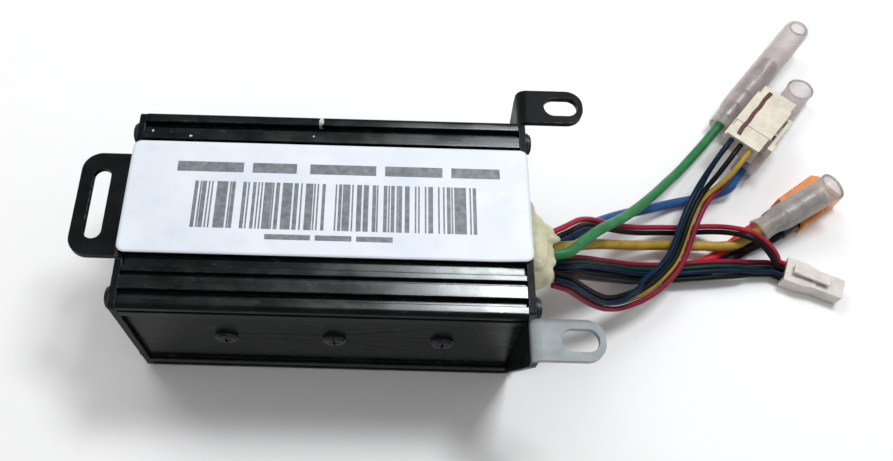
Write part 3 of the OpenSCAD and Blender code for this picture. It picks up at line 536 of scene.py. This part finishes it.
def on_curve(a, b, c, d, t):
    """A point between b and c on the smooth curve through a, b, c and d."""
    bend = 2 * a - 5 * b + 4 * c - d
    twist = 3 * b - a - 3 * c + d
    return 0.5 * (2 * b + (c - a) * t + bend * t ** 2 + twist * t ** 3)


def smooth_route(points, step):
    """Points about a step apart on the smooth curve through the route."""
    p = [Vector(q) for q in points]

    def at(i):
        return p[min(max(i, 0), len(p) - 1)]

    out = []
    for i in range(len(p) - 1):
        n = max(1, math.floor((p[i + 1] - p[i]).length / step + 0.5))
        out += [on_curve(at(i - 1), p[i], p[i + 1], at(i + 2), j / n) for j in range(n)]
    return out + [p[-1]]


def beside(p, loose, at_plug, roll=0.0):
    """The route moved across and up, from a place in the bundle to a place at the plug."""
    n = len(p) - 1
    out = []
    for i, point in enumerate(p):
        w = smoothstep((i / n - 0.68) / 0.19)
        turn = math.pi * smoothstep((i / n - 0.24) / 0.2)
        across = (loose[0] + roll * (1 - math.cos(turn))) * (1 - w) + at_plug[0] * w
        up = (loose[1] + roll * math.sin(turn)) * (1 - w) + at_plug[1] * w
        tangent = (p[min(i + 1, n)] - p[max(i - 1, 0)]).normalized()
        left = Vector((-tangent.y, tangent.x, 0)).normalized()
        out.append(point + left * across + tangent.cross(left) * up)
    return out


def into(route, entry, along, run_up, depth, drop=0.0):
    """A route with the last stretch added: a straight run up to a plug and into it."""
    entry = Vector(entry)
    rise = Vector((0, 0, drop))
    return [*map(Vector, route), entry - along * run_up + rise, entry - along * run_up / 2 + rise / 4,
            entry, entry + along * depth]


def lead(name, nodes, points, diameter, material):
    """One lead as a free cord along its points in mm, in place of its CAD tube."""
    fine = smooth_route(points, 0.9)
    curve = bpy.data.curves.new(name, "CURVE")
    curve.dimensions = "3D"
    curve.bevel_depth = diameter / 2 * MM
    curve.bevel_resolution = 5
    curve.use_fill_caps = True
    spline = curve.splines.new("POLY")
    spline.points.add(len(fine) - 1)
    for place, point in zip(spline.points, fine):
        place.co = (*(point * MM), 1)
    spline.use_smooth = True
    made = add_object(name, curve, material)
    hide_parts(*nodes)
    return made


def make_leads(mats):
    for name, (tail, heading, tilt, _) in SLEEVES.items():
        along = direction(heading, tilt)
        points = PHASE_ROUTES[name] + [Vector(tail) + along * s for s in (-6.5, -3.5, 0, TERMINAL_START)]
        lead("lead_motor_" + name, ["phase_lead_" + name], smooth_route(points, 4), POWER_D, mats[name])
    control_path = smooth_route(into(CONTROL_ROUTE, CONTROL_PLUG[0], direction(CONTROL_PLUG[1]), 3,
                                     HOLE_DEPTH), 3.4)
    brake_path = smooth_route(into(BRAKE_ROUTE, CONTROL_PLUG[0], direction(CONTROL_PLUG[1]), 3,
                                   HOLE_DEPTH, 0.8), 3.4)
    hall_path = smooth_route(into(HALL_ROUTE, HALL_PLUG[0], direction(HALL_PLUG[1]), 3, HOLE_DEPTH), 3.4)
    for kind, path, leads, plug in (("control", control_path, CONTROL_LEADS, "control_plug"),
                                    ("brake", brake_path, BRAKE_LEADS, "control_plug"),
                                    ("hall", hall_path, HALL_LEADS, "hall_plug")):
        for name, (insulation, loose, at_plug, roll) in leads.items():
            lead(f"lead_{kind}_{name}", [f"{kind}_lead_{name}"], beside(path, loose, at_plug, roll),
                 SIGNAL_D, mats[insulation])
    along = direction(BATTERY_PLUG[1])
    path = smooth_route(BATTERY_ROUTE + [Vector(BATTERY_PLUG[0]) + along * s
                                         for s in (-SHRINK_LEN - 1, -SHRINK_LEN / 2, 0, HOLE_DEPTH)], 4)
    for name, side in (("red", 1), ("black", -1)):
        points = beside(path, (side * 1.36, 0), (side * BATTERY_PITCH / 2, 0))
        lead("lead_battery_" + name, ["battery_lead_" + name], points, POWER_D, mats[name])


# ---- sleeves ----

SLEEVE_R = 3.58
SLEEVE_WALL = 0.5
SLEEVE_SIDES = 40


def sleeve_profile(name, length):
    """Stations along a sleeve: distance from its tail and outer radius, in mm."""
    tail = {"green": 2.95, "blue": 2.9, "yellow": 3.35}[name]
    out = [(0, tail), (0.6, tail - 0.02), (2.5, 2.88), (4.6, 2.92), (5.6, 3.12), (6.6, 3.42), (7.6, SLEEVE_R)]
    s = 9.0
    while s < length - 3.5:
        out.append((s, SLEEVE_R))
        s += 1.5
    if name == "green":
        out += [(length - 2.2, SLEEVE_R), (length - 1.3, 3.52), (length - 0.6, 3.34), (length - 0.15, 3.02),
                (length, 2.6)]
    else:
        out += [(length - 2.5, SLEEVE_R), (length - 1.1, 3.6), (length - 0.7, 3.74), (length - 0.15, 3.76),
                (length, 3.7)]
    return out


def make_sleeve(name, mats):
    """A thin dented tube that flares from its tail, with a rolled rim at its open end."""
    tail, heading, tilt, length = SLEEVES[name]
    place = placed(tail, heading, tilt)
    seed = {"green": 3.0, "blue": 11.0, "yellow": 23.0}[name]
    skin = "cloudy_sleeve" if name == "yellow" else "clear_sleeve"
    stations = sleeve_profile(name, length)

    def ring(s, r):
        out = []
        for k in range(SLEEVE_SIDES):
            a = 2 * math.pi * k / SLEEVE_SIDES
            dent = 0.10 * noise.noise(Vector((s * 0.16 + seed, math.cos(a) * 1.1, math.sin(a) * 1.1)))
            squeeze = 1 + 0.018 * math.cos(2 * a) * smoothstep((s - 6) / 4)
            pressed = r * squeeze + dent * smoothstep(s / 6)
            out.append(place @ (Vector((s, pressed * math.cos(a), pressed * math.sin(a))) * MM))
        return out

    outer = [ring(s, r) for s, r in stations]
    inner = [ring(min(s, length - 0.02), r - SLEEVE_WALL) for s, r in reversed(stations)]
    bm = bmesh.new()
    loft(bm, outer + inner + outer[:1], False, False)
    bmesh.ops.remove_doubles(bm, verts=bm.verts, dist=1e-7)
    made = from_bmesh("sleeve_skin_" + name, bm, mats[skin], name + "_sleeve")
    made.modifiers.new("smooth", "SUBSURF").levels = 1
    made.modifiers["smooth"].render_levels = 1
    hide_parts("sleeve_" + name)
    rolled = bmesh.new()
    end = stations[-1][1]
    turn = [(math.cos(2 * math.pi * k / 10), math.sin(2 * math.pi * k / 10)) for k in range(10)]
    rims = [ring(length - 0.3 + 0.29 * u, end - 0.26 + 0.3 * v) for u, v in turn]
    loft(rolled, rims + rims[:1], False, False)
    bmesh.ops.remove_doubles(rolled, verts=rolled.verts, dist=1e-7)
    rim = from_bmesh("sleeve_rim_" + name, rolled, mats["sleeve_rim"], name + "_sleeve")
    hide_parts("sleeve_" + name)
    return made


# ---- grommet ----

PLATE_T = 1.5
GROMMET_Z = 24
GROMMET_TIP_X = 49.9


def oval_ring(x, y0, y1, r, half_sides=20):
    """A slot outline across X: two half circles and the straights between, as points."""
    out = []
    for y, start in ((y1, -0.5), (y0, 0.5)):
        for k in range(half_sides):
            a = math.pi * (start + k / (half_sides - 1))
            out.append(Vector((x, y + r * math.cos(a), GROMMET_Z + r * math.sin(a))) * MM)
    return out


def ball(bm, centre, radii):
    """Adds an egg of the given centre and radii in mm."""
    made = bmesh.ops.create_icosphere(bm, subdivisions=3, radius=1.0)["verts"]
    for v in made:
        v.co = Vector((v.co.x * radii[0], v.co.y * radii[1], v.co.z * radii[2])) * MM + Vector(centre) * MM


def make_grommet(mats):
    """A lump of cream sealant round the leads, swollen where each group comes out of it."""
    bm = bmesh.new()
    inner_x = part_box("right_end_plate")[0].x / MM
    outer_x = inner_x + PLATE_T
    rings = []
    for t, swell in ((0, -0.25), (0.03, 0), (0.3, 0.05), (0.6, -0.15), (0.8, -0.55), (0.9, -1.15),
                     (0.97, -2.05), (1, -3.05)):
        x = outer_x + 0.02 + (GROMMET_TIP_X - outer_x) * t
        rings.append(oval_ring(x, -5 + 0.1 * t, 3.4 - 2.8 * t, 7 - t + swell))
    loft(bm, rings)
    for centre, radii in (((48.9, -3.4, 27.0), (2.3, 2.6, 2.5)), ((48.9, 1.2, 27.9), (2.4, 2.6, 2.2)),
                          ((48.8, 0.2, 24.0), (2.4, 2.8, 2.8)), ((48.6, 2.6, 21.3), (2.2, 2.6, 2.6)),
                          ((48.7, -4.2, 20.8), (2.4, 3.6, 2.8)), ((48.8, -8.3, 25.2), (2.3, 2.6, 3.0)),
                          ((50.4, -0.4, 28.6), (2.2, 1.3, 1.1)), ((49.9, -5.6, 27.2), (1.6, 1.3, 1.2)),
                          ((46.6, -3, 29.9), (2.6, 6.0, 1.3)), ((45.2, 6.4, 29.2), (1.6, 3.2, 1.6))):
        ball(bm, centre, radii)
    made = from_bmesh("grommet_lump", bm, mats["cream_rubber"])
    remesh = made.modifiers.new("remesh", "REMESH")
    remesh.mode = "VOXEL"
    remesh.voxel_size = 0.00033
    remesh.use_smooth_shade = True
    smooth = made.modifiers.new("smooth", "SMOOTH")
    smooth.factor = 0.6
    smooth.iterations = 12
    neck = bmesh.new()
    flange_t = 1.8
    flange_x = inner_x - flange_t
    sections = ((flange_x, 6.1), (flange_x + 0.2, 6.4), (flange_x + 1.6, 6.4), (inner_x - 0.01, 6.2),
                (inner_x, 4.55), (outer_x + 0.3, 4.55))
    loft(neck, [oval_ring(x, -4, 2.4, r) for x, r in sections])
    inner = from_bmesh("grommet_neck", neck, mats["cream_rubber"], smooth=False)
    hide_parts("cable_grommet")
    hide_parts("cable_grommet")


# ---- sticker ----

def make_label(mats):
    """A thin rounded sticker that sinks a little over the roof groove and lifts at one corner."""
    low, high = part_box("label")
    low.x -= 0.8 * MM  # it reaches a little way over both end plates
    high.x += 0.6 * MM
    cx, cy = (low.x + high.x) / 2, (low.y + high.y) / 2
    hx, hy = (high.x - low.x) / 2, (high.y - low.y) / 2
    thick = 0.15 * MM
    clearance = 0.01 * MM
    corner = 1.8 * MM
    groove_y = 13.3 * MM
    nx, ny = 110, 40

    def flat(u, v):
        x, y = u * hx, v * hy
        ex, ey = abs(x) - (hx - corner), abs(y) - (hy - corner)
        if ex > 0 and ey > 0:
            far = math.hypot(ex, ey)
            near = max(ex, ey)
            x = math.copysign(hx - corner + ex * near / far, x)
            y = math.copysign(hy - corner + ey * near / far, y)
        return x, y

    def rise(x, y):
        near_end = smoothstep(1 - (hx - x) / (9 * MM))
        near_front = smoothstep(1 - (hy + y) / (7 * MM))
        dip = smoothstep(1 - abs(cy + y - groove_y) / (1.6 * MM))
        wave = 0.03 * MM * noise.noise(Vector((x, y, 0)) * 130)
        return 0.55 * MM * near_end * near_front - 0.07 * MM * dip + max(wave, -clearance)

    bm = bmesh.new()
    sheets = []
    for level in (0.0, thick):
        rows = []
        for j in range(ny + 1):
            row = []
            for i in range(nx + 1):
                x, y = flat(-1 + 2 * i / nx, -1 + 2 * j / ny)
                row.append(bm.verts.new((cx + x, cy + y, low.z + clearance + level + rise(x, y))))
            rows.append(row)
        sheets.append(rows)
        for j in range(ny):
            for i in range(nx):
                bm.faces.new((rows[j][i], rows[j][i + 1], rows[j + 1][i + 1], rows[j + 1][i]))
    edge = ([(0, i) for i in range(nx)] + [(j, nx) for j in range(ny)]
            + [(ny, i) for i in range(nx, 0, -1)] + [(j, 0) for j in range(ny, 0, -1)])
    for (j0, i0), (j1, i1) in zip(edge, edge[1:] + edge[:1]):
        bm.faces.new((sheets[0][j0][i0], sheets[0][j1][i1], sheets[1][j1][i1], sheets[1][j0][i0]))
    made = from_bmesh("label_sheet", bm, mats["label_paper"])
    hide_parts("label")


# ---- plugs ----

def make_heat_shrinks(mats):
    """Two shrunk tubes at the back of the orange plug, hugging the leads at their open ends."""
    made = []
    bore_r = 1.36
    stations = ((-5.95, bore_r), (-6, 1.55), (-5.7, 1.62), (-5, 1.66), (-4, 1.7), (-3, 1.67), (-2, 1.7),
                (-1, 1.68), (0, 1.68), (-0.02, bore_r))
    sides = 28
    for name, side in (("left", 1), ("right", -1)):
        place = placed(*BATTERY_PLUG) @ Matrix.Translation((0, side * BATTERY_PITCH / 2 * MM, 0))
        rings = []
        for s, r in stations:
            ring = []
            for k in range(sides):
                a = 2 * math.pi * k / sides
                ripple = 0.05 * noise.noise(Vector((s * 0.9 + side * 7, math.cos(a), math.sin(a))))
                pressed = r if r == bore_r else r + ripple
                ring.append(place @ (Vector((s, pressed * math.cos(a), pressed * math.sin(a))) * MM))
            rings.append(ring)
        bm = bmesh.new()
        loft(bm, rings + rings[:1], False, False)
        bmesh.ops.remove_doubles(bm, verts=bm.verts, dist=1e-7)
        made.append(from_bmesh("heat_shrink_" + name, bm, mats["heat_shrink"]))
    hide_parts("battery_heat_shrink")
    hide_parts("battery_heat_shrink")
    return made


def plug_details(mats):
    """Small moulded features of the plugs, and the red stripe along the hall plug."""
    place = placed(*HALL_PLUG)
    stripe = bmesh.new()
    run = ((1.4, 2.2), (4, 2.5), (7, 2.3), (10, 2.55), (13, 2.35), (16, 2.6), (19.2, 2.4))
    section = ((-0.62, 3.1), (0.62, 3.1), (0.5, 3.3), (0, 3.36), (-0.5, 3.3))
    loft(stripe, [[place @ (Vector((x, y + dy, z)) * MM) for dy, z in section] for x, y in run])
    mark = from_bmesh("hall_plug_mark", stripe, mats["red_mark"], smooth=False)
    soften(mark, 0.00008)
    grips = bmesh.new()
    place = placed(*BATTERY_PLUG)
    for s in (2.0, 3.0, 9.2):
        box_into(grips, place, (s, -4.3, 2.4), (s + 0.45, 4.3, 2.62))
    box_into(grips, place, (10.6, -1.5, 2.4), (14.2, 1.5, 2.75))
    grip = from_bmesh("battery_plug_grips", grips, mats["orange_nylon"], smooth=False)
    soften(grip, 0.0001)
    return {"hall_plug": [mark], "battery_plug": [grip]}


# ---- everything else keeps its CAD shape ----

BEVELS = {"case_extrusion": 0.00022, "left_end_plate": 0.00025, "right_end_plate": 0.00025,
          "left_end_screws": 0.00012, "right_end_screws": 0.00012, "wall_screws": 0.00012,
          "hall_plug_housing": 0.0004, "hall_plug_latch": 0.00018, "control_plug_housing": 0.0006,
          "control_plug_latch": 0.00015, "battery_plug_housing": 0.0004}


def dress_nodes(mats):
    """Gives each carried-over shape its material and rounded edges."""
    for entry in frame["record"]["subparts"]:
        node, slot = NODES[entry["node"]], entry["material_slot"]
        if slot in mats:
            node.data.materials.clear()
            node.data.materials.append(mats[slot])
    for name, node in NODES.items():
        if not node.hide_render:
            soften(node, BEVELS.get(name, 0.00008), 3 if name in BEVELS else 2)


# ---- floor and light ----

def add_light(name, place, target, size, power, colour):
    data = bpy.data.lights.new(name, "AREA")
    data.energy = power
    data.color = colour
    data.shape = "RECTANGLE"
    data.size, data.size_y = size
    made = bpy.data.objects.new(name, data)
    SCENE.collection.objects.link(made)
    made.location = place
    made.rotation_mode = "QUATERNION"
    made.rotation_quaternion = (Vector(target) - Vector(place)).to_track_quat("-Z", "Y")
    return made


def make_stage():
    """A pale floor and three lamps; the third one only draws the sheen along the ribs."""
    bm = bmesh.new()
    bmesh.ops.create_grid(bm, x_segments=2, y_segments=2, size=3)
    mesh = bpy.data.meshes.new("floor")
    bm.to_mesh(mesh)
    bm.free()
    floor = bpy.data.objects.new("floor", mesh)
    SCENE.collection.objects.link(floor)
    floor.location.z = -0.00005
    s = Shader("floor", 0.8)
    s.colour(s.mix(s.ramp(s.noise(3, 2), 0.3, 0.7), (0.90, 0.90, 0.90), (0.93, 0.93, 0.93)))
    mesh.materials.append(s.mat)
    world = bpy.data.worlds.new("world")
    world.use_nodes = True
    world.node_tree.nodes["Background"].inputs[0].default_value = (1, 1, 1, 1)
    world.node_tree.nodes["Background"].inputs[1].default_value = 0.42
    SCENE.world = world
    add_light("softbox", (0.20, 0.21, 0.57), (0.05, -0.01, 0.03), (0.20, 0.12), 2.3, (0.96, 0.98, 1))
    key = add_light("key", (-0.30, 0.50, 0.70), (0.03, 0, 0.02), (0.5, 0.4), 2.4, (1, 0.99, 0.97))
    key.visible_glossy = False
    sheen = add_light("sheen", (0.17, 0.195, 0.57), (0.045, -0.02, 0.04), (0.18, 0.09), 22, (0.9, 0.97, 1))
    sheen.visible_diffuse = False
    dark_metal = bpy.data.collections.new("dark_metal")
    dark_metal.objects.link(NODES["case_extrusion"])
    sheen.light_linking.receiver_collection = dark_metal
    SCENE.view_settings.view_transform = "Standard"
    SCENE.view_settings.look = "None"


# ---- build ----

make_camera()
materials = make_materials()
sleeves = {name: make_sleeve(name, materials) for name in SLEEVES}
shrinks = make_heat_shrinks(materials)
details = plug_details(materials)
ends = {name: [NODES["terminal_" + name], sleeves[name]] for name in SLEEVES}
for plug in ("hall_plug", "control_plug"):
    ends[plug] = [NODES[plug + part] for part in ("_housing", "_terminals", "_latch")] + details.get(plug, [])
ends["battery_plug"] = ([NODES["battery_plug_housing"], NODES["battery_plug_contacts"]] + shrinks
                        + details["battery_plug"])
make_leads(materials)
make_grommet(materials)
make_label(materials)
dress_nodes(materials)
make_stage()

bpy.context.view_layer.update()
